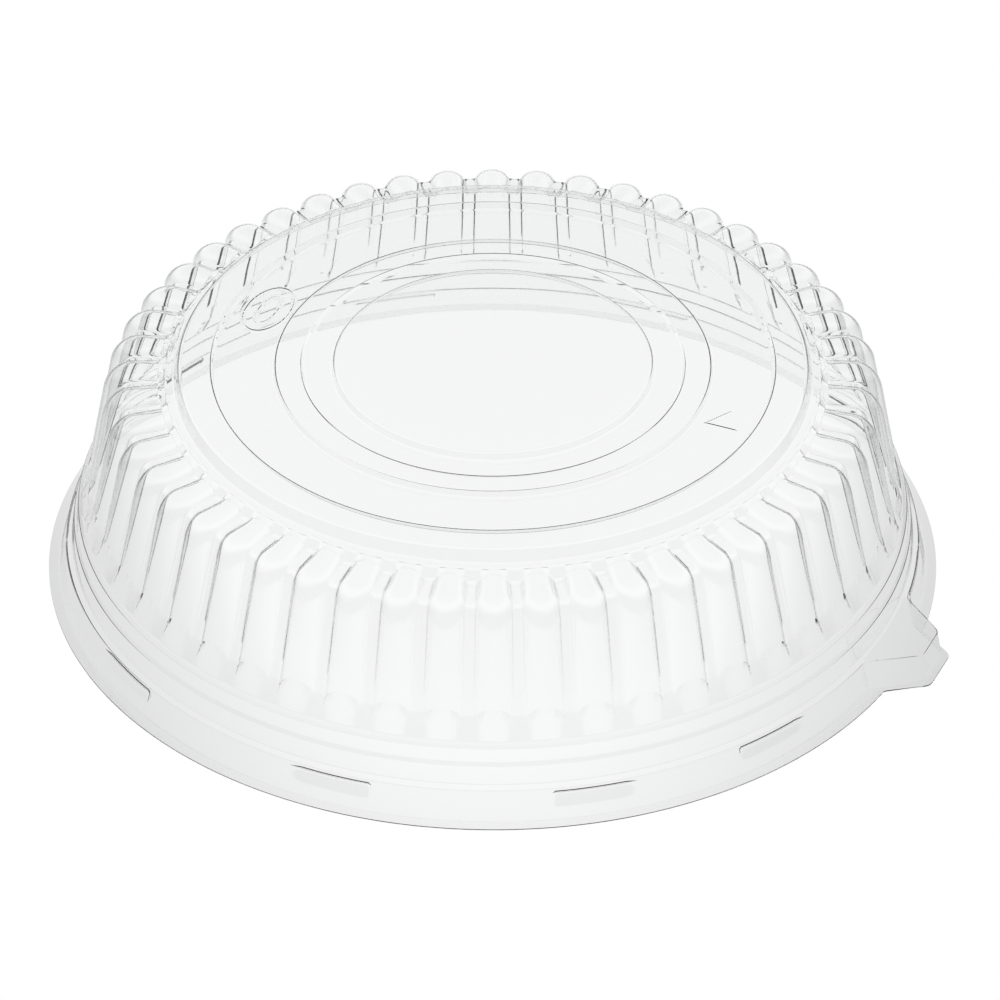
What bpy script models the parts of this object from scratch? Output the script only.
"""Round clear dome lid: one thin thermoformed sheet, modelled zone by zone.

Metres, +Z up. The origin is the centre of the rim flange's underside, so the lid stands on
z = 0 and +Z is its axis. The front of the lid faces -Y and the pull tab points to +X.
"""

import math

import bmesh
import bpy
from mathutils import Vector

MM = 0.001

# Driving dimensions, in millimetres. Radii and heights are those of the outer skin.
SHEET = 0.5            # thickness of the formed sheet
ZONE_GAP = 0.3         # gap left between neighbouring zones of the sheet
SEAM_RUN = 1.0         # level run between a bend and the seam with the next zone
FLANGE_RADIUS = 155.0
FLANGE_INNER_RADIUS = 151.4
SKIRT_TOP_RADIUS = 148.6
SKIRT_TOP_HEIGHT = 12.0
BAND_TOP_RADIUS = 144.2
BAND_TOP_HEIGHT = 26.5
WALL_FOOT_RADIUS = 142.6
WALL_FOOT_HEIGHT = 28.4
RIDGE_OUTER_RADIUS = 110.6
RIDGE_INNER_RADIUS = 97.6
RIDGE_HEIGHT = 84.6
INNER_RIDGE_OUTER_RADIUS = 76.0
INNER_RIDGE_INNER_RADIUS = 66.4
INNER_RIDGE_HEIGHT = 84.4
OUTER_GROOVE_HEIGHT = 82.2
INNER_GROOVE_HEIGHT = 83.2
CENTRE_RADIUS = 55.8
CENTRE_HEIGHT = 85.9
SHOULDER_HEIGHT = 80.0
BAND_SEAM = (143.4, 27.45)   # radius and height where the ribbed wall meets the step band
SKIRT_SEAM = (147.7, 12.7)   # where the step band meets the snap skirt

# The crest of the ribs between deck and band: corners (radius, height) and the bend at each.
SHOULDER_START = (112.4, 79.7)
SHOULDER_CORNER = (133.8, 77.0)
SHOULDER_BEND = 11.0
WALL_END = (140.3, 40.0)     # the ribs start to die out below this height
WALL_SEAM_HEIGHT = 62.0      # where the ribbed shoulder meets the ribbed wall

RIB_COUNT = 50
RIB_TURN = 0.25              # degrees from the front to the middle of the nearest rib
RIB_HEIGHT = 4.6             # how far a rib stands out of the valleys beside it
RIB_WIDTH_SHARE = 0.86       # share of each pitch that the rounded rib takes
RIB_SINKS = (1.0, 0.14, 0.14, 1.0)   # how deep the skin lies at the points across one rib
DECK_STEPS = 48            # steps around a ring of the deck
RIM_STEPS = 72             # steps around a ring of the rim

TAB_AZIMUTH = -22.5        # degrees from +X, seen from above
TAB_HALF_ROOT = 20.4       # half width of the raised tab where it leaves the skirt
TAB_HALF_TIP = 8.0
TAB_REACH = 163.5          # radius that the raised top reaches
TAB_TOP_HEIGHT = 11.0      # height of the raised top at its tip
TAB_WALL_LEAN = 1.2        # how far the tab's walls lean out on their way down
TAB_TRIM = 2.6             # flat trim around the raised tab
TAB_OPENING = 8.1          # degrees each side of the tab where skirt and flange stop

LUG_ARC = 12.0             # degrees that one snap lug takes
LUG_STARTS = (-154.0, -118.0, -82.0, -55.5, -13.5, 26.0, 62.0, 98.0, 134.0, 170.0)
LUG_TOP = 10.2
LUG_FOOT = 6.4
LUG_DEPTH = 1.1


def clear_scene():
    for old in list(bpy.data.objects):
        bpy.data.objects.remove(old, do_unlink=True)


def clear_plastic():
    """Clear, glossy thermoformed sheet."""
    plastic = bpy.data.materials.new("clear_sheet")
    plastic.use_nodes = True
    shader = plastic.node_tree.nodes["Principled BSDF"]
    shader.inputs["Base Color"].default_value = (0.96, 0.97, 0.98, 1.0)
    shader.inputs["Roughness"].default_value = 0.06
    shader.inputs["Metallic"].default_value = 0.0
    shader.inputs["IOR"].default_value = 1.57
    shader.inputs["Transmission Weight"].default_value = 1.0
    return plastic


def inner_skin(outline):
    """The outline moved inwards by the sheet's thickness, square to its own direction."""
    moved = []
    for index, (radius, height) in enumerate(outline):
        before = outline[max(index - 1, 0)]
        after = outline[min(index + 1, len(outline) - 1)]
        run_r = after[0] - before[0]
        run_z = after[1] - before[1]
        length = math.hypot(run_r, run_z)
        moved.append((radius + SHEET * run_z / length, height - SHEET * run_r / length))
    return moved


def shortened(outline, start_cut, end_cut):
    """The outline with a little taken off each end, which leaves the gap between two zones."""
    cut = list(outline)
    for end, neighbour, amount in ((0, 1, start_cut), (-1, -2, end_cut)):
        run_r = cut[neighbour][0] - cut[end][0]
        run_z = cut[neighbour][1] - cut[end][1]
        length = math.hypot(run_r, run_z)
        share = amount / length
        cut[end] = (cut[end][0] + share * run_r, cut[end][1] + share * run_z)
    return cut


def add_object(name, mesh_data, plastic):
    mesh = bpy.data.meshes.new(name)
    bmesh.ops.recalc_face_normals(mesh_data, faces=mesh_data.faces)
    mesh_data.to_mesh(mesh)
    mesh_data.free()
    mesh.shade_smooth()
    mesh.set_sharp_from_angle(angle=math.radians(35))
    made = bpy.data.objects.new(name, mesh)
    made.data.materials.append(plastic)
    bpy.context.scene.collection.objects.link(made)
    return made


def ring_mesh(rows_at, azimuths, full_turn=True):
    """A ring: rows_at(azimuth) gives the section's corners. A part turn gets a face at each end."""
    mesh_data = bmesh.new()
    loops = []
    for azimuth in azimuths:
        turn = math.radians(azimuth)
        loop = [
            mesh_data.verts.new((r * MM * math.cos(turn), r * MM * math.sin(turn), z * MM))
            for r, z in rows_at(azimuth)
        ]
        loops.append(loop)
    pairs = list(zip(loops, loops[1:]))
    if full_turn:
        pairs.append((loops[-1], loops[0]))
    else:
        mesh_data.faces.new(loops[0])
        mesh_data.faces.new(loops[-1])
    for loop, following in pairs:
        for corner in range(len(loop)):
            beside = (corner + 1) % len(loop)
            mesh_data.faces.new((loop[corner], loop[beside], following[beside], following[corner]))
    return mesh_data


def section(outline):
    """The closed section of a sheet: outer skin one way, inner skin back."""
    return list(outline) + list(reversed(inner_skin(outline)))


def plain_zone(name, outline, plastic, steps):
    """A zone that is the same all the way round. The outline runs from its inner end to its outer end."""
    cut = shortened(outline, ZONE_GAP / 2, ZONE_GAP / 2)
    corners = section(cut)
    azimuths = [360.0 * step / steps for step in range(steps)]
    return add_object(name, ring_mesh(lambda azimuth: corners, azimuths), plastic)


def centre_panel(plastic):
    """The raised round panel in the middle of the deck, closed at the axis."""
    outline = [
        (8.0, CENTRE_HEIGHT),
        (CENTRE_RADIUS - 1.6, CENTRE_HEIGHT),
        (CENTRE_RADIUS - 0.9, CENTRE_HEIGHT - 0.5),
        (CENTRE_RADIUS, INNER_GROOVE_HEIGHT),
        (CENTRE_RADIUS + SEAM_RUN, INNER_GROOVE_HEIGHT),
    ]
    cut = shortened(outline, 0.0, ZONE_GAP / 2)
    outer = cut
    inner = inner_skin(cut)
    mesh_data = bmesh.new()
    loops = []
    for r, z in outer + list(reversed(inner)):
        loop = []
        for step in range(DECK_STEPS):
            turn = 2.0 * math.pi * step / DECK_STEPS
            loop.append(mesh_data.verts.new((r * MM * math.cos(turn), r * MM * math.sin(turn), z * MM)))
        loops.append(loop)
    for low, high in zip(loops, loops[1:]):
        for step in range(DECK_STEPS):
            beside = (step + 1) % DECK_STEPS
            mesh_data.faces.new((low[step], low[beside], high[beside], high[step]))
    mesh_data.faces.new(loops[0])
    mesh_data.faces.new(loops[-1])
    return add_object("centre_panel", mesh_data, plastic)


def deck_zones(plastic):
    """The rings between the centre panel and the ribbed wall, from the inside out."""
    inner_ridge_foot = INNER_RIDGE_INNER_RADIUS - 1.2
    ridge_foot = RIDGE_INNER_RADIUS - 1.0
    plain_zone(
        "inner_groove",
        [
            (CENTRE_RADIUS + SEAM_RUN, INNER_GROOVE_HEIGHT),
            (inner_ridge_foot - SEAM_RUN, INNER_GROOVE_HEIGHT),
        ],
        plastic,
        DECK_STEPS,
    )
    plain_zone(
        "inner_ridge",
        [
            (inner_ridge_foot - SEAM_RUN, INNER_GROOVE_HEIGHT),
            (inner_ridge_foot, INNER_GROOVE_HEIGHT),
            (INNER_RIDGE_INNER_RADIUS, INNER_RIDGE_HEIGHT),
            (INNER_RIDGE_OUTER_RADIUS - 0.9, INNER_RIDGE_HEIGHT),
            (INNER_RIDGE_OUTER_RADIUS, OUTER_GROOVE_HEIGHT),
            (INNER_RIDGE_OUTER_RADIUS + SEAM_RUN, OUTER_GROOVE_HEIGHT),
        ],
        plastic,
        DECK_STEPS,
    )
    plain_zone(
        "outer_groove",
        [
            (INNER_RIDGE_OUTER_RADIUS + SEAM_RUN, OUTER_GROOVE_HEIGHT),
            (ridge_foot - SEAM_RUN, OUTER_GROOVE_HEIGHT),
        ],
        plastic,
        DECK_STEPS,
    )
    plain_zone(
        "stacking_ridge",
        [
            (ridge_foot - SEAM_RUN, OUTER_GROOVE_HEIGHT),
            (ridge_foot, OUTER_GROOVE_HEIGHT),
            (RIDGE_INNER_RADIUS, RIDGE_HEIGHT),
            (RIDGE_OUTER_RADIUS - 2.4, RIDGE_HEIGHT),
            (RIDGE_OUTER_RADIUS - 1.5, RIDGE_HEIGHT - 0.9),
            (RIDGE_OUTER_RADIUS, SHOULDER_HEIGHT),
            along_line((RIDGE_OUTER_RADIUS, SHOULDER_HEIGHT), SHOULDER_START, SEAM_RUN),
        ],
        plastic,
        DECK_STEPS,
    )


def along_line(start, end, distance):
    """The point this far from start on the way to end."""
    run_r = end[0] - start[0]
    run_z = end[1] - start[1]
    share = distance / math.hypot(run_r, run_z)
    return (start[0] + run_r * share, start[1] + run_z * share)


def bend_points(before, corner, after, radius, pieces):
    """The corner of a line as an arc of this radius that touches both its runs."""
    arrive = math.atan2(corner[1] - before[1], corner[0] - before[0])
    leave = math.atan2(after[1] - corner[1], after[0] - corner[0])
    reach = radius * math.tan((arrive - leave) / 2.0)
    start_r, start_z = along_line(corner, before, reach)
    centre_r = start_r + radius * math.sin(arrive)
    centre_z = start_z - radius * math.cos(arrive)
    points = []
    for piece in range(pieces + 1):
        turn = arrive + (leave - arrive) * piece / pieces
        points.append((centre_r - radius * math.sin(turn), centre_z + radius * math.cos(turn)))
    return points


def wall_point(height):
    """The crest of the straight wall at this height."""
    share = (SHOULDER_CORNER[1] - height) / (SHOULDER_CORNER[1] - WALL_END[1])
    return (SHOULDER_CORNER[0] + share * (WALL_END[0] - SHOULDER_CORNER[0]), height)


def crest_stations():
    """Two lists, shoulder and wall, of (radius, height, share of the rib's height) down the crest."""
    ridge_foot = (RIDGE_OUTER_RADIUS, SHOULDER_HEIGHT)
    bend = bend_points(SHOULDER_START, SHOULDER_CORNER, WALL_END, SHOULDER_BEND, 4)
    shoulder = [
        (*along_line(ridge_foot, SHOULDER_START, SEAM_RUN + ZONE_GAP / 2), 0.0),
        (*SHOULDER_START, 0.0),
        (*along_line(SHOULDER_START, SHOULDER_CORNER, 5.0), 1.0),
        *[(*point, 1.0) for point in bend],
        (*wall_point(WALL_SEAM_HEIGHT + ZONE_GAP / 2), 1.0),
    ]
    wall_foot = (WALL_FOOT_RADIUS, WALL_FOOT_HEIGHT)
    wall = [
        (*wall_point(WALL_SEAM_HEIGHT - ZONE_GAP / 2), 1.0),
        (*WALL_END, 1.0),
        (*along_line(WALL_END, wall_foot, 6.0), 0.55),
        (*wall_foot, 0.0),
        (*along_line(BAND_SEAM, wall_foot, ZONE_GAP / 2), 0.0),
    ]
    return shoulder, wall


def rib_columns():
    """Azimuths around the wall, and how deep the skin lies at each (0 on a crest, 1 in a valley)."""
    pitch = 360.0 / RIB_COUNT
    spans = len(RIB_SINKS) - 1
    columns = []
    for rib in range(RIB_COUNT):
        start = -90.0 + RIB_TURN + pitch * (rib - RIB_WIDTH_SHARE / 2.0)
        for point, sink in enumerate(RIB_SINKS):
            columns.append((start + pitch * RIB_WIDTH_SHARE * point / spans, sink))
    return columns


def rib_grid(stations, columns):
    """The outer skin: one row of points for each station, one point for each column."""
    last = len(stations) - 1
    grid = []
    for index, (radius, height, share) in enumerate(stations):
        before = stations[max(index - 1, 0)]
        after = stations[min(index + 1, last)]
        run = Vector((after[0] - before[0], after[1] - before[1])).normalized()
        row = []
        for azimuth, sink in columns:
            depth = RIB_HEIGHT * share * sink
            skin_radius = radius + depth * run.y
            turn = math.radians(azimuth)
            row.append(Vector((
                skin_radius * math.cos(turn),
                skin_radius * math.sin(turn),
                height - depth * run.x,
            )))
        grid.append(row)
    return grid


def under_grid(grid):
    """The inner skin: every point moved in by the sheet's thickness, square to the surface."""
    last = len(grid) - 1
    count = len(grid[0])
    under = []
    for index, row in enumerate(grid):
        above = grid[max(index - 1, 0)]
        below = grid[min(index + 1, last)]
        moved = []
        for column, point in enumerate(row):
            around = row[(column + 1) % count] - row[column - 1]
            down = below[column] - above[column]
            moved.append(point - around.cross(down).normalized() * -SHEET)
        under.append(moved)
    return under


def ribbed_zone(name, grid, under, plastic):
    """A closed ring of sheet. Both skins split each cell along the same diagonal, so they can't cross."""
    mesh_data = bmesh.new()
    outer = [[mesh_data.verts.new(point * MM) for point in row] for row in grid]
    inner = [[mesh_data.verts.new(point * MM) for point in row] for row in under]
    count = len(outer[0])
    for skin in (outer, inner):
        for above, below in zip(skin, skin[1:]):
            for column in range(count):
                beside = (column + 1) % count
                mesh_data.faces.new((above[column], below[column], below[beside]))
                mesh_data.faces.new((above[column], below[beside], above[beside]))
    for row in (0, -1):
        for column in range(count):
            beside = (column + 1) % count
            mesh_data.faces.new((outer[row][column], outer[row][beside], inner[row][beside], inner[row][column]))
    return add_object(name, mesh_data, plastic)


def ribbed_zones(plastic):
    """The wall with its 50 rounded ribs: a shoulder that bends over, and the wall below it."""
    shoulder, wall = crest_stations()
    columns = rib_columns()
    grid = rib_grid(shoulder + wall, columns)
    under = under_grid(grid)
    rows = len(shoulder)
    ribbed_zone("ribbed_shoulder", grid[:rows], under[:rows], plastic)
    ribbed_zone("ribbed_wall", grid[rows:], under[rows:], plastic)


def step_band(plastic):
    """The stepped band between the ribs' feet and the snap skirt."""
    plain_zone(
        "step_band",
        [
            BAND_SEAM,
            (BAND_TOP_RADIUS, BAND_TOP_HEIGHT),
            (145.0, 21.4),
            (145.9, 20.2),
            (146.8, 13.4),
            SKIRT_SEAM,
        ],
        plastic,
        RIM_STEPS,
    )


def lug_share(azimuth):
    """1 inside a snap lug, 0 outside."""
    for start in LUG_STARTS:
        within = (azimuth - start) % 360.0
        if 0.01 < within < LUG_ARC - 0.01:
            return 1.0
    return 0.0


def part_turn(steps):
    """Azimuths of a ring that stops each side of the tab."""
    start = TAB_AZIMUTH + TAB_OPENING
    turn = 360.0 - 2.0 * TAB_OPENING
    return [start + turn * step / steps for step in range(steps + 1)]


def skirt_azimuths():
    """Plain steps round the skirt, with the steps of each lug in place of those near it."""
    ends = part_turn(RIM_STEPS)
    margin = 1.4
    kept = [ends[0], ends[-1]]
    for azimuth in ends[1:-1]:
        beside_lug = [
            (azimuth - start + margin) % 360.0 < LUG_ARC + 2.0 * margin
            for start in LUG_STARTS
        ]
        if not any(beside_lug):
            kept.append(azimuth)
    for start in LUG_STARTS:
        while start < ends[0]:
            start += 360.0
        kept += [start, start + 0.8, start + LUG_ARC / 2.0, start + LUG_ARC - 0.8, start + LUG_ARC]
    return sorted(kept)


def skirt_radius(height):
    slope = (SKIRT_TOP_RADIUS - FLANGE_INNER_RADIUS) / SKIRT_TOP_HEIGHT
    return FLANGE_INNER_RADIUS + slope * height


def snap_skirt(plastic):
    """The skirt that snaps over a tray's rim, with its inward lugs."""

    def rows_at(azimuth):
        depth = LUG_DEPTH * lug_share(azimuth)
        line = [
            SKIRT_SEAM,
            (SKIRT_TOP_RADIUS, SKIRT_TOP_HEIGHT),
            (skirt_radius(LUG_TOP + 0.4), LUG_TOP + 0.4),
            (skirt_radius(LUG_TOP) - depth, LUG_TOP),
            (skirt_radius(LUG_FOOT), LUG_FOOT),
            (FLANGE_INNER_RADIUS, SHEET),
        ]
        return section(shortened(line, ZONE_GAP / 2, ZONE_GAP / 2))

    return add_object("snap_skirt", ring_mesh(rows_at, skirt_azimuths(), False), plastic)


def rim_flange(plastic):
    """The flat trim around the lid, which the lid stands on."""
    inner = FLANGE_INNER_RADIUS + ZONE_GAP
    corners = [(inner, SHEET), (FLANGE_RADIUS, SHEET), (FLANGE_RADIUS, 0.0), (inner, 0.0)]
    return add_object("rim_flange", ring_mesh(lambda azimuth: corners, part_turn(RIM_STEPS), False), plastic)


def tab_point(reach, across, height):
    """A point of the tab: reach along its own radial line, across it, and up."""
    turn = math.radians(TAB_AZIMUTH)
    x = reach * math.cos(turn) - across * math.sin(turn)
    y = reach * math.sin(turn) + across * math.cos(turn)
    return (x * MM, y * MM, height * MM)


def root_reach(radius, across):
    """Where the circle of this radius lies, at a distance across from the tab's line."""
    return math.sqrt(radius * radius - across * across)


def tab_skin(mesh_data, sink, spread):
    """One skin of the tab: its raised top, then the walls' foot and the trim's edge as open lines.

    sink lowers the top and spread moves the walls outwards, so that two skins make a sheet.
    """
    rows, columns = 4, 6
    top = []
    for row in range(rows + 1):
        along = row / rows
        line = []
        for column in range(columns + 1):
            side = 2.0 * column / columns - 1.0
            half = TAB_HALF_ROOT + (TAB_HALF_TIP - TAB_HALF_ROOT) * along + spread
            across = side * half
            root = root_reach(SKIRT_SEAM[0] + ZONE_GAP, across)
            reach = root + (TAB_REACH + spread - root) * along
            height = SKIRT_SEAM[1] - 0.2 + (TAB_TOP_HEIGHT - SKIRT_SEAM[1] + 0.2) * along - sink
            line.append(mesh_data.verts.new(tab_point(reach, across, height)))
        top.append(line)
    for low, high in zip(top, top[1:]):
        for column in range(columns):
            mesh_data.faces.new((low[column], low[column + 1], high[column + 1], high[column]))
    edge = [line[0] for line in top] + top[-1][1:-1] + [line[-1] for line in reversed(top)]

    def rim_line(root_radius, half_root, half_tip, reach_tip, height):
        line = []
        for row in range(rows + 1):
            along = row / rows
            half = half_root + (half_tip - half_root) * along
            root = root_reach(root_radius, half_root)
            line.append((root + (reach_tip - root) * along, -half))
        for column in range(1, columns):
            line.append((reach_tip, half_tip * (2.0 * column / columns - 1.0)))
        line += [(reach, -across) for reach, across in reversed(line[:rows + 1])]
        return [mesh_data.verts.new(tab_point(reach, across, height)) for reach, across in line]

    foot = rim_line(
        FLANGE_INNER_RADIUS,
        TAB_HALF_ROOT + spread + 0.4,
        TAB_HALF_TIP + spread + TAB_WALL_LEAN,
        TAB_REACH + spread + TAB_WALL_LEAN,
        SHEET - sink,
    )
    trim = rim_line(
        FLANGE_RADIUS,
        TAB_HALF_ROOT + 0.9,
        TAB_HALF_TIP + TAB_TRIM,
        TAB_REACH + TAB_WALL_LEAN + TAB_TRIM,
        SHEET - sink,
    )
    for inner, outer in ((edge, foot), (foot, trim)):
        for place in range(len(inner) - 1):
            mesh_data.faces.new((inner[place], inner[place + 1], outer[place + 1], outer[place]))
    return top, foot, trim


def pull_tab(plastic):
    """The raised hollow tab that a thumb lifts, with its flat trim."""
    mesh_data = bmesh.new()
    outer_top, outer_foot, outer_trim = tab_skin(mesh_data, 0.0, 0.0)
    inner_top, inner_foot, inner_trim = tab_skin(mesh_data, SHEET, -SHEET)

    def join(first, second):
        for place in range(len(first) - 1):
            mesh_data.faces.new((first[place], first[place + 1], second[place + 1], second[place]))

    join(outer_trim, inner_trim)
    join(outer_top[0], inner_top[0])
    for end in (0, -1):
        outer_side = [outer_top[0][end], outer_foot[end], outer_trim[end]]
        inner_side = [inner_top[0][end], inner_foot[end], inner_trim[end]]
        join(outer_side, inner_side)
    return add_object("pull_tab", mesh_data, plastic)


def main():
    clear_scene()
    plastic = clear_plastic()
    centre_panel(plastic)
    deck_zones(plastic)
    ribbed_zones(plastic)
    step_band(plastic)
    snap_skirt(plastic)
    rim_flange(plastic)
    pull_tab(plastic)


main()
